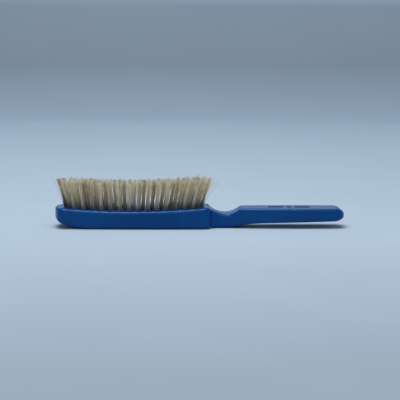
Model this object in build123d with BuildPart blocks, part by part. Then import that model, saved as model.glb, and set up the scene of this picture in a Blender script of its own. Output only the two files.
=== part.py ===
from build123d import *
from math import cos, radians, sin, sqrt, tan
import os

# Staple-set hairbrush: a moulded body, 74 bristle tufts and the flat wire anchor under each one.
# It lies on its back with the bristles up, +X towards the handle end, +Z up.
# x is measured from the middle of the length, and station(x) turns a distance from the tip into it.

# ---- driving dimensions, mm ----
LENGTH = 220.0            # tip of the head to the end of the handle

HEAD_END = 120.0          # head plan: rear end, measured from the tip
HEAD_HALF = 15.0          # half width at the middle of the head
HEAD_HALF_TIP, HEAD_HALF_REAR = 13.2, 14.0   # half widths where the bowed sides meet the bowed ends
HEAD_TIP_BOW, HEAD_REAR_BOW = 4.0, 4.0       # how far the two ends bow out
TIP_CORNER_R, REAR_CORNER_R = 6.0, 5.0
NECK_X, NECK_HALF = 131.0, 7.9
GRIP_X, GRIP_HALF = 178.0, 10.9
BUTT_HALF, BUTT_CORNER_R = 9.9, 8.4
SHOULDER_R = 4.2          # concave corners between head and neck
NECK_R = 70.0             # blend from the neck into the handle

FACE_LOW_X, FACE_LOW_Z = 57.0, 13.45  # lowest point of the dished bristle face
FACE_R = 620.0            # lengthwise radius of the bristle face
RIDGE_X = 116.2           # rear edge of the bristle face
RIDGE_R = 3.4
SCOOP_X, SCOOP_Z = 129.0, 10.85       # bottom of the thumb scoop behind the head
GRIP_TOP_X, GRIP_TOP_Z = 141.0, 15.3
GRIP_TOP_R = 5.0
GRIP_DROP_X, GRIP_DROP_R, GRIP_DROP_ARC = 212.5, 9.0, 62.0  # the top of the handle rounds over here

BACK_LIP_R, BACK_LIP_ARC = 11.0, 50.0   # the back turns up sharply under the tip of the head
BACK_TIP_R, BACK_TIP_ARC = 82.0, 16.5   # and more gently from there to the flat stretch
BACK_FLAT_X = 30.0        # tip end of the straight stretch it rests on
BACK_STRAIGHT = 89.0
BACK_RISE_R, BACK_RISE_ARC = 120.0, 9.0
BACK_RISE = 7.0
GRIP_BACK_R, GRIP_BACK_ARC = 110.0, 7.4
GRIP_BACK = 52.7
BUTT_R, BUTT_ARC = 18.0, 36.0
BACK_FLAT_HALF = 8.0      # half width of the flat strip under the back
BACK_CROWN_R = 36.0       # the back rounds up on both sides of it

TOP_RIM_R = 2.0
BACK_RIM_R = 2.2

ROWS = 5                  # lengthwise rows of tufts
ROW_PITCH = 4.8
TUFT_PITCH = 6.85         # along a row; neighbouring rows are staggered by half of it
FIELD_X = 59.6            # middle of the tuft field, from the tip
FIELD_A, FIELD_B, FIELD_N = 52.0, 15.0, 2.8   # superellipse that the tufts stay inside
FIELD_HALF = 51.4         # from the middle of the field to its outermost tufts, for the lean
LEAN_LONG, LEAN_ACROSS = 13.4, 8.0     # degrees of outward lean at the edges of the field
LEAN_BACK = 1.3           # degrees that the whole field leans towards the handle

HOLE_R, HOLE_DEPTH = 1.25, 5.5
TUFT_FOOT_R, TUFT_FOLD_R, TUFT_TIP_R = 1.0, 1.13, 1.7
TUFT_FOLD = 3.2           # height of the folded, wired part of a tuft
TUFT_FREE = 22.0          # bristle length above the face at mid field
TUFT_TRIM = (0.45, 1.1)   # extra length towards the handle, and towards both ends
ANCHOR = (3.0, 0.3, 1.3)  # flat wire: span across the hole, thickness, height
ANCHOR_UP = 1.6           # middle of the anchor above the bottom of the hole

MARK_DEPTH = 0.6
MARK_X, MARK_W, MARK_CORNER_R = 178.0, 5.0, 1.2
MARK_BARS = ((-10.0, 12.0), (0.0, 3.4), (10.0, 12.0))   # offset from MARK_X, length


def station(x):
    return x - LENGTH / 2


def face_z(x):
    return FACE_LOW_Z + FACE_R - sqrt(FACE_R**2 - (x - FACE_LOW_X) ** 2)


def tuft_plane(x, y, up):
    """Plane square to a tuft's axis, `up` above the mouth of its hole; x from the tip."""
    lean_x = radians(LEAN_LONG * (x - FIELD_X) / FIELD_HALF + LEAN_BACK)
    lean_y = radians(LEAN_ACROSS * y / (ROW_PITCH * (ROWS - 1) / 2))
    axis = Vector(tan(lean_x), tan(lean_y), 1).normalized()
    mouth = Vector(station(x), y, face_z(x))
    return Plane(origin=mouth + axis * up, x_dir=(1, 0, 0), z_dir=axis)


def tuft_length(x):
    along = (x - FIELD_X) / FIELD_HALF
    return TUFT_FREE + TUFT_TRIM[0] * along + TUFT_TRIM[1] * along**2


def row_places(row):
    """(x, y) of each tuft of a row, counted from the side nearest -Y."""
    y = ROW_PITCH * (row - (ROWS - 1) / 2)
    reach = FIELD_A * (1 - abs(y / FIELD_B) ** FIELD_N) ** (1 / FIELD_N)
    shift = 0.0 if row % 2 else 0.5
    steps = [k + shift for k in range(-12, 13) if abs(k + shift) * TUFT_PITCH <= reach]
    return [(FIELD_X + s * TUFT_PITCH, y) for s in steps]


places = [row_places(row) for row in range(ROWS)]
every_place = [place for row in places for place in row]

# The back, tip to handle end: (kind, radius or length, degrees), each joining the last tangentially.
back_run = [
    ("up", BACK_LIP_R, BACK_LIP_ARC),
    ("up", BACK_TIP_R, BACK_TIP_ARC),
    ("straight", BACK_STRAIGHT, 0),
    ("up", BACK_RISE_R, BACK_RISE_ARC),
    ("straight", BACK_RISE, 0),
    ("down", GRIP_BACK_R, GRIP_BACK_ARC),
    ("straight", GRIP_BACK, 0),
    ("up", BUTT_R, BUTT_ARC),
]

# ---- what is cut away under the back: a crowned section carried along back_run ----
with BuildPart() as under_back:
    slope = -BACK_LIP_ARC - BACK_TIP_ARC
    steep, gentle = radians(-slope), radians(BACK_TIP_ARC)
    spot = Vector(
        station(BACK_FLAT_X) - BACK_TIP_R * sin(gentle) - BACK_LIP_R * (sin(steep) - sin(gentle)),
        0,
        BACK_TIP_R * (1 - cos(gentle)) + BACK_LIP_R * (cos(gentle) - cos(steep)),
    )
    for kind, size, turn in back_run:
        ahead = Vector(cos(radians(slope)), 0, sin(radians(slope)))
        upward = Vector(-ahead.Z, 0, ahead.X)
        # local x is +Y, local y is up
        with BuildSketch(Plane(origin=spot, x_dir=(0, 1, 0), z_dir=ahead)) as crown:
            with BuildLine():
                rise = BACK_CROWN_R - sqrt(BACK_CROWN_R**2 - 24.0**2)
                reach = BACK_FLAT_HALF + 24.0
                Line((-BACK_FLAT_HALF, 0), (BACK_FLAT_HALF, 0))
                RadiusArc((BACK_FLAT_HALF, 0), (reach, rise), -BACK_CROWN_R)
                Polyline((reach, rise), (reach, -12), (-reach, -12), (-reach, rise))
                RadiusArc((-reach, rise), (-BACK_FLAT_HALF, 0), -BACK_CROWN_R)
            make_face()
        if kind == "straight":
            extrude(amount=size)
            spot = spot + ahead * size
        else:
            side = 1 if kind == "up" else -1
            centre = spot + upward * size * side
            revolve(axis=Axis(centre, (0, -side, 0)), revolution_arc=turn)
            slope = slope + turn * side
            spot = centre - Vector(-sin(radians(slope)), 0, cos(radians(slope))) * size * side

# ---- the moulded body ----
with BuildPart() as brush_body:
    with BuildSketch(Plane.XY) as plan:
        with BuildLine():
            x0, x1 = station(HEAD_TIP_BOW), station(HEAD_END - HEAD_REAR_BOW)
            xm, near, far = (x0 + x1) / 2, -1, 1
            ThreePointArc((x0, near * HEAD_HALF_TIP), (xm, near * HEAD_HALF), (x1, near * HEAD_HALF_REAR))
            ThreePointArc((x1, near * HEAD_HALF_REAR), (station(HEAD_END), 0), (x1, far * HEAD_HALF_REAR))
            ThreePointArc((x1, far * HEAD_HALF_REAR), (xm, far * HEAD_HALF), (x0, far * HEAD_HALF_TIP))
            ThreePointArc((x0, far * HEAD_HALF_TIP), (station(0), 0), (x0, near * HEAD_HALF_TIP))
        make_face()
        fillet(plan.vertices().filter_by(lambda v: v.X < xm), TIP_CORNER_R)
        fillet(plan.vertices().filter_by(lambda v: v.X > xm), REAR_CORNER_R)
        with BuildLine():
            start = station(HEAD_END - 12)
            neck, grip, end = station(NECK_X), station(GRIP_X), station(LENGTH)
            Polyline((neck, NECK_HALF), (start, NECK_HALF), (start, -NECK_HALF), (neck, -NECK_HALF))
            ThreePointArc((neck, -NECK_HALF), (grip, -GRIP_HALF), (end, -BUTT_HALF))
            Line((end, -BUTT_HALF), (end, BUTT_HALF))
            ThreePointArc((end, BUTT_HALF), (grip, GRIP_HALF), (neck, NECK_HALF))
        make_face()
        fillet(plan.vertices().filter_by(lambda v: v.X > end - 1), BUTT_CORNER_R)
        fillet(plan.vertices().filter_by(lambda v: abs(v.X - neck) < 0.01), NECK_R)
        shoulders = plan.vertices().filter_by(lambda v: abs(abs(v.Y) - NECK_HALF) < 0.01 and v.X < neck - 5)
        fillet(shoulders, SHOULDER_R)
    extrude(amount=30)

    # everything above the side profile is taken off
    with BuildSketch(Plane.XZ) as profile:
        with BuildLine():
            tip, ridge = station(-2), station(RIDGE_X)
            ridge_z = face_z(RIDGE_X)
            RadiusArc((tip, face_z(-2)), (ridge, ridge_z), -FACE_R)
            ThreePointArc((ridge, ridge_z), (station(SCOOP_X), SCOOP_Z), (station(GRIP_TOP_X), GRIP_TOP_Z))
            drop = station(GRIP_DROP_X)
            Line((station(GRIP_TOP_X), GRIP_TOP_Z), (drop, GRIP_TOP_Z))
            over = JernArc((drop, GRIP_TOP_Z), (1, 0), GRIP_DROP_R, -GRIP_DROP_ARC)
            Polyline(over @ 1, (station(LENGTH + 6), 40), (tip, 40), (tip, face_z(-2)))
        make_face()
        fillet(profile.vertices().filter_by(lambda v: abs(v.X - ridge) < 1 and v.Z < 30), RIDGE_R)
        fillet(profile.vertices().filter_by(lambda v: abs(v.X - station(GRIP_TOP_X)) < 1), GRIP_TOP_R)
    extrude(amount=40, both=True, mode=Mode.SUBTRACT)
    add(under_back.part, mode=Mode.SUBTRACT)

    # rims: every edge where a side wall meets an upper face, then where one meets the back
    wall_edges = faces().filter_by(lambda f: abs(f.normal_at().Z) < 0.02).edges()
    upper = faces().filter_by(lambda f: f.normal_at().Z > 0.3).edges()
    fillet([e for e in upper if e in wall_edges], TOP_RIM_R)
    wall_edges = faces().filter_by(lambda f: abs(f.normal_at().Z) < 0.02).edges()
    lower = faces().filter_by(lambda f: f.normal_at().Z < -0.3).edges()
    fillet([e for e in lower if e in wall_edges], BACK_RIM_R)

    # decorative sunk bars on top of the handle
    with BuildSketch(Plane.XY.offset(GRIP_TOP_Z)) as mark:
        for x, length in MARK_BARS:
            with BuildLine():
                a, b, w = station(MARK_X + x - length / 2), station(MARK_X + x + length / 2), MARK_W / 2
                Polyline((a, -w), (b, -w), (b, w), (a, w), close=True)
            make_face()
        fillet(mark.vertices(), MARK_CORNER_R)
    extrude(amount=-MARK_DEPTH, mode=Mode.SUBTRACT)

    # blind holes for the tufts, and the nicks that the anchor wires are driven into
    with BuildSketch(*[tuft_plane(x, y, -HOLE_DEPTH) for x, y in every_place]):
        Circle(HOLE_R)
    extrude(amount=HOLE_DEPTH + 3, mode=Mode.SUBTRACT)
    with Locations(*[tuft_plane(x, y, ANCHOR_UP - HOLE_DEPTH) for x, y in every_place]):
        Box(*ANCHOR, mode=Mode.SUBTRACT)

os.makedirs("parts", exist_ok=True)
brush_body.part.label = "brush_body"
export_step(brush_body.part, "parts/brush_body.step")

# ---- tufts and anchors, one node of each per lengthwise row ----
for row, spots in enumerate(places, start=1):
    feet = [tuft_plane(x, y, -HOLE_DEPTH) for x, y in spots]
    wires = [tuft_plane(x, y, ANCHOR_UP - HOLE_DEPTH) for x, y in spots]

    with BuildPart() as tuft_row:
        stand = (Align.CENTER, Align.CENTER, Align.MIN)
        with Locations(*feet):
            Cone(TUFT_FOOT_R, TUFT_FOLD_R, TUFT_FOLD, align=stand)
        for x, y in spots:
            with Locations(tuft_plane(x, y, TUFT_FOLD - HOLE_DEPTH)):
                Cone(TUFT_FOLD_R, TUFT_TIP_R, HOLE_DEPTH - TUFT_FOLD + tuft_length(x), align=stand)
        with Locations(*wires):
            Box(*ANCHOR, mode=Mode.SUBTRACT)
    tuft_row.part.label = f"tuft_row_{row}"
    export_step(tuft_row.part, f"parts/tuft_row_{row}.step")

    with BuildPart() as anchor_row:
        with Locations(*wires):
            Box(*ANCHOR)
    anchor_row.part.label = f"anchor_row_{row}"
    export_step(anchor_row.part, f"parts/anchor_row_{row}.step")
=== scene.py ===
import math

import bpy
import numpy as np
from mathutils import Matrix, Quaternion, Vector


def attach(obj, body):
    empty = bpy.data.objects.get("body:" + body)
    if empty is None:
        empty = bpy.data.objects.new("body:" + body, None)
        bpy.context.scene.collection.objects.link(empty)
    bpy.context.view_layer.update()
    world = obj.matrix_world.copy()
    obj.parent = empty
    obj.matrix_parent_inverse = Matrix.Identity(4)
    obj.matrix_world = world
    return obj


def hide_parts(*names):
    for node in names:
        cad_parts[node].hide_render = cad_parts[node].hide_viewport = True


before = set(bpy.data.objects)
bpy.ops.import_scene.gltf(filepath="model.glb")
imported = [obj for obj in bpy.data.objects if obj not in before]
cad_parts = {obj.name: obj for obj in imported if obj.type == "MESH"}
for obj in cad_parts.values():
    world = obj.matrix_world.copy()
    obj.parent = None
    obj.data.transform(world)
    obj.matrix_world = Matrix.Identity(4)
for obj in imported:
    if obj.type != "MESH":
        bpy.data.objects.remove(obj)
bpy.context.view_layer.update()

rng = np.random.default_rng(7)

# ---- the brush's own dimensions, repeated from part.py, in metres ----
HALF_LENGTH = 0.110
ROWS, ROW_PITCH, TUFT_PITCH = 5, 0.0048, 0.00685
FIELD_X = 0.0596
FIELD_A, FIELD_B, FIELD_N = 0.052, 0.015, 2.8
FIELD_HALF = 0.0514
LEAN_LONG, LEAN_ACROSS, LEAN_BACK = 13.4, 8.0, 1.3
FACE_LOW_X, FACE_LOW_Z, FACE_R = 0.057, 0.01345, 0.620
TUFT_FREE, TRIM_BACK, TRIM_ENDS = 0.0220, 0.00045, 0.0011
HOLE_R = 0.00125


def face_z(x):
    return FACE_LOW_Z + FACE_R - math.sqrt(FACE_R**2 - (x - FACE_LOW_X) ** 2)


def row_places(row):
    y = ROW_PITCH * (row - (ROWS - 1) / 2)
    reach = FIELD_A * (1 - abs(y / FIELD_B) ** FIELD_N) ** (1 / FIELD_N)
    shift = 0.0 if row % 2 else 0.5
    steps = [k + shift for k in range(-12, 13) if abs(k + shift) * TUFT_PITCH <= reach]
    return [(FIELD_X + s * TUFT_PITCH, y) for s in steps]


def tuft_length(x):
    along = (x - FIELD_X) / FIELD_HALF
    return TUFT_FREE + TRIM_BACK * along + TRIM_ENDS * along**2


def unit(v):
    return v / np.linalg.norm(v)


# ---- node helpers ----
class Nodes:
    """A material's node tree with short calls for the nodes used here."""

    def __init__(self, name):
        self.mat = bpy.data.materials.new(name)
        self.mat.use_nodes = True
        self.tree = self.mat.node_tree
        self.shader = next(n for n in self.tree.nodes if n.type == "BSDF_PRINCIPLED")

    def add(self, kind, inputs=(), **settings):
        node = self.tree.nodes.new(kind)
        for key, value in settings.items():
            setattr(node, key, value)
        for key, value in dict(inputs).items():
            self.put(node, key, value)
        return node

    def put(self, node, key, value):
        socket = node.inputs[key]
        if isinstance(value, bpy.types.NodeSocket):
            self.tree.links.new(value, socket)
        else:
            socket.default_value = value

    def math(self, operation, a, b=0.0):
        node = self.add("ShaderNodeMath", {0: a, 1: b}, operation=operation)
        return node.outputs[0]

    def noise(self, vector, scale, detail=3.0, rough=0.5, distort=0.0):
        settings = {
            "Vector": vector,
            "Scale": scale,
            "Detail": detail,
            "Roughness": rough,
            "Distortion": distort,
        }
        return self.add("ShaderNodeTexNoise", settings).outputs[0]

    def span(self, value, low, high, to_low=0.0, to_high=1.0, smooth=True):
        settings = {
            "Value": value,
            "From Min": low,
            "From Max": high,
            "To Min": to_low,
            "To Max": to_high,
        }
        curve = "SMOOTHSTEP" if smooth else "LINEAR"
        return self.add("ShaderNodeMapRange", settings, interpolation_type=curve).outputs[0]

    def mix(self, factor, a, b, blend="MIX"):
        node = self.add("ShaderNodeMix", data_type="RGBA", blend_type=blend)
        self.put(node, 0, factor)
        self.put(node, 6, a)
        self.put(node, 7, b)
        return node.outputs[2]

    def ramp(self, value, stops):
        node = self.add("ShaderNodeValToRGB", {0: value})
        elements = node.color_ramp.elements
        while len(elements) < len(stops):
            elements.new(0.5)
        for element, (spot, colour) in zip(elements, stops):
            element.position, element.color = spot, colour
        return node.outputs[0]

    def scaled(self, vector, x, y, z):
        node = self.add("ShaderNodeMapping", {"Vector": vector, "Scale": (x, y, z)})
        return node.outputs[0]

    def bump(self, height, distance, strength=1.0, normal=None):
        settings = {"Height": height, "Distance": distance, "Strength": strength}
        node = self.add("ShaderNodeBump", settings)
        if normal is not None:
            self.put(node, "Normal", normal)
        return node.outputs[0]

    def where(self):
        return self.add("ShaderNodeTexCoord").outputs["Object"]


# ---- materials ----
PLASTIC_DEEP = (0.0005, 0.043, 0.186, 1)
PLASTIC_PALE = (0.0013, 0.058, 0.228, 1)
PLASTIC_GLOSS = (0.08, 0.20)   # roughness of polished and of smudged plastic
RUBBED = 0.14                  # roughness added by lengthwise rub marks
PLASTIC_SHEEN = (0.45, 0.78, 1.0, 1.0)

# the sunk bars on the handle: where their ink fades in and out, in metres
INK = (0.0006, 0.012, 0.060, 1)
INK_START, INK_END = (0.0515, 0.0520), (0.0840, 0.0845)
INK_SIDE = (0.0024, 0.0026)
INK_FLOOR, INK_MOUTH = (0.0143, 0.0145), (0.0148, 0.0151)


def plastic_material():
    m = Nodes("brush_plastic")
    s = m.shader
    where = m.where()
    axes = m.add("ShaderNodeSeparateXYZ", {0: where})
    x, y, z = axes.outputs
    cloud = m.noise(where, 28.0, 4.0, 0.55)
    smudge = m.noise(where, 110.0, 5.0, 0.62, 0.6)
    grain = m.noise(where, 2600.0, 2.0, 0.5)
    drag = m.noise(m.scaled(where, 60.0, 900.0, 900.0), 1.0, 3.0, 0.6)

    base = m.ramp(cloud, [(0.3, PLASTIC_DEEP), (0.7, PLASTIC_PALE)])
    ink = m.math("MULTIPLY", m.span(x, *INK_START), m.span(x, *INK_END, 1.0, 0.0))
    ink = m.math("MULTIPLY", ink, m.span(z, *INK_MOUTH, 1.0, 0.0))
    ink = m.math("MULTIPLY", ink, m.span(z, *INK_FLOOR))
    ink = m.math("MULTIPLY", ink, m.span(m.math("ABSOLUTE", y), *INK_SIDE, 1.0, 0.0))
    m.put(s, "Base Color", m.mix(ink, base, INK))

    rough = m.span(smudge, 0.35, 0.70, *PLASTIC_GLOSS)
    rough = m.math("ADD", rough, m.span(drag, 0.58, 0.76, 0.0, RUBBED))
    m.put(s, "Roughness", rough)
    s.inputs["IOR"].default_value = 1.45
    s.inputs["Specular IOR Level"].default_value = 0.32
    s.inputs["Specular Tint"].default_value = PLASTIC_SHEEN
    normal = m.bump(grain, 0.00002, 0.5)
    normal = m.bump(drag, 0.00002, 0.4, normal)
    normal = m.bump(cloud, 0.0003, 0.25, normal)
    m.put(s, "Normal", normal)
    return m.mat


# bristle colour from the root to the trimmed tip, with painted shade: dark down in the hole and low
# in the tuft, tinted blue-grey at the very root as a painted bounce of light from the blue plastic,
# paling up the tuft
SHADED_ROOT_TO_TIP = (
    (0.0, (0.26, 0.28, 0.33, 1)),
    (0.15, (0.22, 0.22, 0.22, 1)),
    (0.33, (0.62, 0.56, 0.45, 1)),
    (0.70, (0.97, 0.85, 0.61, 1)),
    (0.88, (0.95, 0.85, 0.63, 1)),
    (1.0, (0.66, 0.64, 0.51, 1)),
)
# and how single bristles differ, from darkest to palest; the palest stop also colours the painted
# highlight down one side of each tuft
TONES = (
    (0.0, (0.32, 0.27, 0.20, 1)),
    (0.40, (0.81, 0.76, 0.67, 1)),
    (0.80, (1.0, 0.97, 0.90, 1)),
    (1.0, (1.05, 1.08, 1.12, 1)),
)


def bristle_material():
    m = Nodes("bristle_fibre")
    s = m.shader
    along = m.add("ShaderNodeAttribute", attribute_name="along").outputs["Fac"]
    tone = m.add("ShaderNodeAttribute", attribute_name="tone").outputs["Fac"]
    # the colour along each bristle carries painted shade towards the root
    m.put(s, "Base Color", m.mix(1.0, m.ramp(along, SHADED_ROOT_TO_TIP), m.ramp(tone, TONES), "MULTIPLY"))
    m.put(s, "Roughness", m.span(tone, 0.0, 1.0, 0.52, 0.34))
    s.inputs["IOR"].default_value = 1.50
    return m.mat


def wire_material():
    m = Nodes("anchor_wire")
    s = m.shader
    where = m.where()
    drawn = m.noise(m.scaled(where, 300.0, 9000.0, 9000.0), 1.0, 2.0)
    steel = m.ramp(drawn, [(0.3, (0.50, 0.50, 0.48, 1)), (0.7, (0.66, 0.66, 0.64, 1))])
    m.put(s, "Base Color", steel)
    s.inputs["Metallic"].default_value = 1.0
    m.put(s, "Roughness", m.span(drawn, 0.3, 0.7, 0.28, 0.45))
    return m.mat


plastic, fibre, wire = plastic_material(), bristle_material(), wire_material()
for name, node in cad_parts.items():
    finish = {"brush_body": plastic}.get(name, wire if name.startswith("anchor") else fibre)
    node.data.materials.clear()
    node.data.materials.append(finish)

# ---- bristle tufts: every filament is a tapered, slightly wavy tube ----
# Lengths are in metres. A jitter is a standard deviation, and two numbers in brackets are the
# lowest and the highest value of a random draw.
FILAMENTS = 58
RINGS, SIDES = 9, 4       # rings along a filament, and its sides
TURN = 6.28               # a full turn, in radians
FIBRE_R = 0.000115
FIBRE_SPREAD = (0.82, 1.15)    # thickness of single bristles, as a share of FIBRE_R
TIP_TAPER = 0.62          # radius of the last ring, as a share of the first
TIP_POINT = 1.2           # how many radii a tip's point stands beyond the last ring
LEAN_JITTER_LONG, LEAN_JITTER_ACROSS = 0.5, 0.9    # degrees
SUNK = 0.0012             # how far inside the hole the bristles start
MOUTH_GAP = 0.00013       # from the outermost bristles to the edge of the hole
FOOT_JITTER, TIP_JITTER, BOW_JITTER = 0.00005, 0.00038, 0.00016
BOW_OUT = 0.04            # outward bow, as a share of the foot's distance from the middle
TUFT_FLARE, FIBRE_FLARE = (0.40, 0.60), (0.4, 1.6)
FLARE_POWER = 2.8         # a tuft stays tight above its hole and opens towards the tips
BULGE, BULGE_AT, BULGE_WIDTH = 0.42, 0.14, 0.11    # the bristles crowd outwards just above the hole
WAVE, WAVE_TURNS = 0.00007, 9

END_TUFT = 0.9            # tufts further out than this, as a share of the field, are splayed
SPLAY_TIP, SPLAY_HANDLE = (0.0004, 0.0022), (0.0, 0.0008)
WORN_TUFT = 0.85          # beyond this, towards the handle, the tufts have been splayed by use
WORN_REACH = (0.0005, 0.0060)
STRAYS, WORN_STRAYS = 0.05, 0.15     # share of the bristles that stray
STRAY_SPREAD = (1.2, 2.0)
STRAY_POWER = 1.7         # stray bristles part from the tuft lower down
STRAY_THICK = 1.3
STRAY_TONE, WORN_TONE = 0.7, 0.35
MOST_ACROSS = 0.0023      # tips are kept this close to their tuft's middle, across the brush

LENGTH_JITTER = 0.011     # as a share of the length
TRIM, CROWN = 0.0002, 0.0007   # all tips stand this much lower, and a tuft's outer tips more so
SHORT_SHARE, SHORT_BY = 0.13, (0.0006, 0.0040)
PROUD_SHARE, PROUD_BY = 0.012, (0.0006, 0.0018)

TONE_MIDDLE, TONE_JITTER, TUFT_TONE_JITTER, TONE_MOST = 0.46, 0.22, 0.15, 0.9
# the first number marks where a painted highlight runs down one side of each tuft; the second is
# the share of bristles that are pale in their own tone
GLINT_STREAK_FROM, PALE_SHARE = 0.72, 0.06


def tuft_filaments(x, y):
    """Centre lines (filaments, RINGS, 3), radii and tone of the tuft at x from the tip, y."""
    n = FILAMENTS
    out = (x - FIELD_X) / FIELD_HALF
    worn = out > WORN_TUFT
    lean_x = math.radians(LEAN_LONG * out + LEAN_BACK + rng.normal(0, LEAN_JITTER_LONG))
    outer_row = ROW_PITCH * (ROWS - 1) / 2
    lean_y = math.radians(LEAN_ACROSS * y / outer_row + rng.normal(0, LEAN_JITTER_ACROSS))
    axis = unit(np.array([math.tan(lean_x), math.tan(lean_y), 1.0]))
    side = unit(np.cross([0.0, 1.0, 0.0], axis))
    other = np.cross(axis, side)
    mouth = np.array([x - HALF_LENGTH, y, face_z(x)])

    # sunflower packing in the hole, loosened a little
    k = np.arange(n) + 0.5
    spread = np.sqrt(k / n)
    angle = k * math.pi * (3 - math.sqrt(5)) + rng.uniform(0, TURN)
    foot = np.stack([spread * np.cos(angle), spread * np.sin(angle)], 1) * (HOLE_R - MOUTH_GAP)
    foot += rng.normal(0, FOOT_JITTER, (n, 2))
    flare = 1.0 + rng.uniform(*TUFT_FLARE) * rng.uniform(*FIBRE_FLARE, (n, 1))
    tip = foot * flare + rng.normal(0, TIP_JITTER, (n, 2))
    bow = rng.normal(0, BOW_JITTER, (n, 2)) + foot * BOW_OUT
    if abs(out) > END_TUFT:
        tip[:, 0] += rng.uniform(*SPLAY_HANDLE, n) if out > 0 else -rng.uniform(*SPLAY_TIP, n)
    stray = rng.random(n) < (WORN_STRAYS if worn else STRAYS)
    tip[stray] *= rng.uniform(*STRAY_SPREAD, (stray.sum(), 1))
    if worn:
        tip[stray, 0] += rng.uniform(*WORN_REACH, stray.sum())
    tip[:, 1] = np.clip(tip[:, 1], -MOST_ACROSS, MOST_ACROSS)

    length = tuft_length(x) * (1.0 + LENGTH_JITTER * rng.normal(0, 1, n)) - TRIM - CROWN * spread**2
    short = rng.random(n) < SHORT_SHARE
    length[short] -= rng.uniform(*SHORT_BY, short.sum())
    proud = rng.random(n) < PROUD_SHARE
    length[proud] += rng.uniform(*PROUD_BY, proud.sum())

    t = np.linspace(0, 1, RINGS)[None, :, None]
    power = np.where(stray, STRAY_POWER, FLARE_POWER)[:, None, None]
    across = foot[:, None] + (tip - foot)[:, None] * t**power + bow[:, None] * (4 * t * (1 - t))
    across = across + foot[:, None] * BULGE * np.exp(-(((t - BULGE_AT) / BULGE_WIDTH) ** 2))
    wave = WAVE * np.sin(t * WAVE_TURNS + rng.uniform(0, TURN, (n, 1, 2)))
    across = across + wave * t
    up = -SUNK + (length[:, None, None] + SUNK) * t
    line = mouth + across[..., :1] * side + across[..., 1:] * other + up * axis
    thick = rng.uniform(*FIBRE_SPREAD, (n, 1)) * FIBRE_R
    thick[stray] *= STRAY_THICK
    radius = thick * np.linspace(1.0, TIP_TAPER, RINGS)[None]

    tone = rng.normal(TONE_MIDDLE, TONE_JITTER, n) + rng.normal(0, TUFT_TONE_JITTER)
    tone = np.clip(tone, 0, TONE_MOST)
    # painted highlight: a pale stripe down one side of each tuft stands in for light glinting off
    # the bristles; a few more bristles anywhere are pale in their own tone
    glint_streak = np.cos(angle - rng.uniform(0, TURN)) * spread
    tone[(glint_streak > GLINT_STREAK_FROM) | (rng.random(n) < PALE_SHARE)] = 1.0
    tone[stray] *= WORN_TONE if worn else STRAY_TONE
    return line, radius, tone


def tube_mesh(name, lines, radii, tones):
    """One mesh of closed tapered tubes along lines (n, RINGS, 3)."""
    n = len(lines)
    tangent = np.gradient(lines, axis=1)
    tangent /= np.linalg.norm(tangent, axis=2, keepdims=True)
    u = np.cross(tangent, [0.0, 1.0, 0.0])
    u /= np.linalg.norm(u, axis=2, keepdims=True)
    v = np.cross(tangent, u)
    ring = np.arange(SIDES) * 2 * math.pi / SIDES
    around = u[:, :, None] * np.cos(ring)[:, None] + v[:, :, None] * np.sin(ring)[:, None]
    points = lines[:, :, None] + around * radii[:, :, None, None]
    point = lines[:, -1] + tangent[:, -1] * radii[:, -1:] * TIP_POINT
    per = RINGS * SIDES + 1    # vertices of one tube
    verts = np.concatenate([points.reshape(n, -1, 3), point[:, None]], 1).reshape(-1, 3)

    j, i = np.meshgrid(np.arange(RINGS - 1), np.arange(SIDES), indexing="ij")
    a = (j * SIDES + i).ravel()
    b = (j * SIDES + (i + 1) % SIDES).ravel()
    quads = np.stack([a, b, b + SIDES, a + SIDES], 1)
    last = (RINGS - 1) * SIDES + np.arange(SIDES)
    caps = np.stack([last, np.roll(last, -1), np.full(SIDES, per - 1)], 1)
    shift = (np.arange(n) * per)[:, None, None]
    quads, caps = (quads + shift).reshape(-1, 4), (caps + shift).reshape(-1, 3)
    roots = (np.arange(SIDES)[::-1] + (np.arange(n) * per)[:, None]).reshape(-1, SIDES)
    faces = quads.tolist() + caps.tolist() + roots.tolist()

    mesh = bpy.data.meshes.new(name)
    mesh.from_pydata(verts.tolist(), [], faces)
    mesh.validate()
    along = np.tile(np.append(np.repeat(np.linspace(0, 1, RINGS), SIDES), 1.0), n)
    mesh.attributes.new("along", "FLOAT", "POINT").data.foreach_set("value", along)
    mesh.attributes.new("tone", "FLOAT", "POINT").data.foreach_set("value", np.repeat(tones, per))
    mesh.polygons.foreach_set("use_smooth", np.ones(len(mesh.polygons), bool))
    mesh.materials.append(fibre)
    piece = bpy.data.objects.new(name, mesh)
    bpy.context.collection.objects.link(piece)
    return piece


for row in range(ROWS):
    parts = [tuft_filaments(x, y) for x, y in row_places(row)]
    lines, radii, tones = (np.concatenate(group) for group in zip(*parts))
    bristles = tube_mesh(f"bristles_row_{row + 1}", lines, radii, tones)
    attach(bristles, "root")
    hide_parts(f"tuft_row_{row + 1}")

# ---- floor, light and camera ----
# metres along the sweep (distance back plus twice the height) and how bright the paper is painted
# there: painted light and shade, palest behind the brush
PAINTED_STAGE_LIGHT = (
    (-0.4, 0.64),
    (-0.05, 0.84),
    (0.3, 0.87),
    (0.85, 1.03),
    (1.3, 0.66),
    (1.6, 0.74),
    (1.72, 1.28),
)
RUN_START, RUN_END = -0.4, 2.4
PALEST = 1.3              # the fade is stored as a share of this, and multiplied by it again


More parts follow.
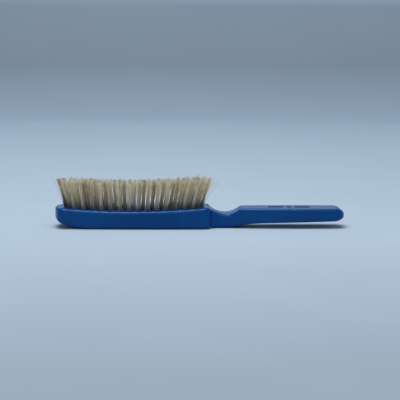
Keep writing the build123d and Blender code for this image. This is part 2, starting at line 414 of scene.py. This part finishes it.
def stage_material():
    m = Nodes("studio_paper")
    s = m.shader
    where = m.where()
    axes = m.add("ShaderNodeSeparateXYZ", {0: where})
    mottled = m.noise(where, 9.0, 3.0)
    tint = m.ramp(mottled, [(0.3, (0.50, 0.60, 0.70, 1)), (0.7, (0.52, 0.62, 0.72, 1))])
    # painted light on the paper: palest behind the brush, with painted shade in front and up the
    # backdrop
    run = m.math("ADD", axes.outputs[1], m.math("MULTIPLY", axes.outputs[2], 2.0))
    run = m.span(run, RUN_START, RUN_END, smooth=False)
    stops = []
    for at, pale in PAINTED_STAGE_LIGHT:
        grey = pale / PALEST
        stops.append(((at - RUN_START) / (RUN_END - RUN_START), (grey, grey, grey, 1)))
    tint = m.mix(1.0, tint, m.ramp(run, stops), "MULTIPLY")
    tint = m.mix(1.0, tint, (PALEST, PALEST, PALEST, 1), "MULTIPLY")
    m.put(s, "Base Color", tint)
    s.inputs["Roughness"].default_value = 0.85
    s.inputs["Specular IOR Level"].default_value = 0.15
    return m.mat


FLOOR_FRONT, FLOOR_BACK = -1.6, 0.9
FLOOR_HALF = 2.2
BEND_R, BEND_STEPS, BEND_START = 0.5, 14, 0.1    # the bend starts at this angle, in radians
BACKDROP_TOP = 2.2


def sweep():
    """A floor that curves up into a backdrop far behind the brush."""
    profile = [(FLOOR_FRONT, 0.0), (FLOOR_BACK, 0.0)]
    for a in np.linspace(BEND_START, math.pi / 2, BEND_STEPS):
        profile.append((FLOOR_BACK + BEND_R * math.sin(a), BEND_R * (1 - math.cos(a))))
    profile.append((FLOOR_BACK + BEND_R, BACKDROP_TOP))
    verts = [(x, y, z) for y, z in profile for x in (-FLOOR_HALF, FLOOR_HALF)]
    faces = [(2 * i, 2 * i + 1, 2 * i + 3, 2 * i + 2) for i in range(len(profile) - 1)]
    mesh = bpy.data.meshes.new("studio_sweep")
    mesh.from_pydata(verts, [], faces)
    mesh.polygons.foreach_set("use_smooth", np.ones(len(faces), bool))
    mesh.materials.append(stage_material())
    floor = bpy.data.objects.new("studio_sweep", mesh)
    bpy.context.collection.objects.link(floor)


sweep()


def area_light(name, spot, aim, size, power, colour):
    light = bpy.data.lights.new(name, "AREA")
    light.shape, light.size, light.size_y = "RECTANGLE", size[0], size[1]
    light.energy, light.color = power, colour
    lamp = bpy.data.objects.new(name, light)
    lamp.location = spot
    lamp.rotation_euler = (Vector(aim) - Vector(spot)).to_track_quat("-Z", "Y").to_euler()
    bpy.context.collection.objects.link(lamp)


COOL_WHITE, SKY_WHITE = (0.97, 0.99, 1.0), (0.95, 0.98, 1.0)
area_light("overhead_softbox", (-0.1, -0.10, 1.1), (0, 0, 0), (0.6, 0.75), 11.2, COOL_WHITE)
area_light("front_fill", (0.2, -1.5, 0.7), (0, 0, 0.02), (1.0, 0.7), 2.2, SKY_WHITE)

ROOM_TINT, ROOM_LIGHT = (0.62, 0.70, 0.80, 1), 0.45
world = bpy.data.worlds.new("studio")
bpy.context.scene.world = world
world.use_nodes = True
backdrop = next(n for n in world.node_tree.nodes if n.type == "BACKGROUND")
backdrop.inputs[0].default_value = ROOM_TINT
backdrop.inputs[1].default_value = ROOM_LIGHT

AIM = Vector((0.0, 0.0, 0.0205))
DISTANCE, ELEVATION = 1.0, math.radians(8.5)
SLOPE = math.radians(0.1)
ASIDE = 0.034             # metres that the camera stands towards the bristles from the middle
LENS = 118.2
camera = bpy.data.objects.new("camera", bpy.data.cameras.new("camera"))
camera.data.lens = LENS
back, high = math.cos(ELEVATION) * DISTANCE, math.sin(ELEVATION) * DISTANCE
camera.location = AIM + Vector((-ASIDE, -back, high))
look = (AIM - camera.location).to_track_quat("-Z", "Y")
# rolled so that the brush lies level across the picture, but for the slope of a hand-held shot
along_brush = look.inverted() @ Vector((1, 0, 0))
roll = Quaternion((0, 0, 1), math.atan2(along_brush.y, along_brush.x) + SLOPE)
camera.rotation_euler = (look @ roll).to_euler()
camera.data.clip_start = 0.01
bpy.context.collection.objects.link(camera)
bpy.context.scene.camera = camera
bpy.context.scene.view_settings.view_transform = "Standard"
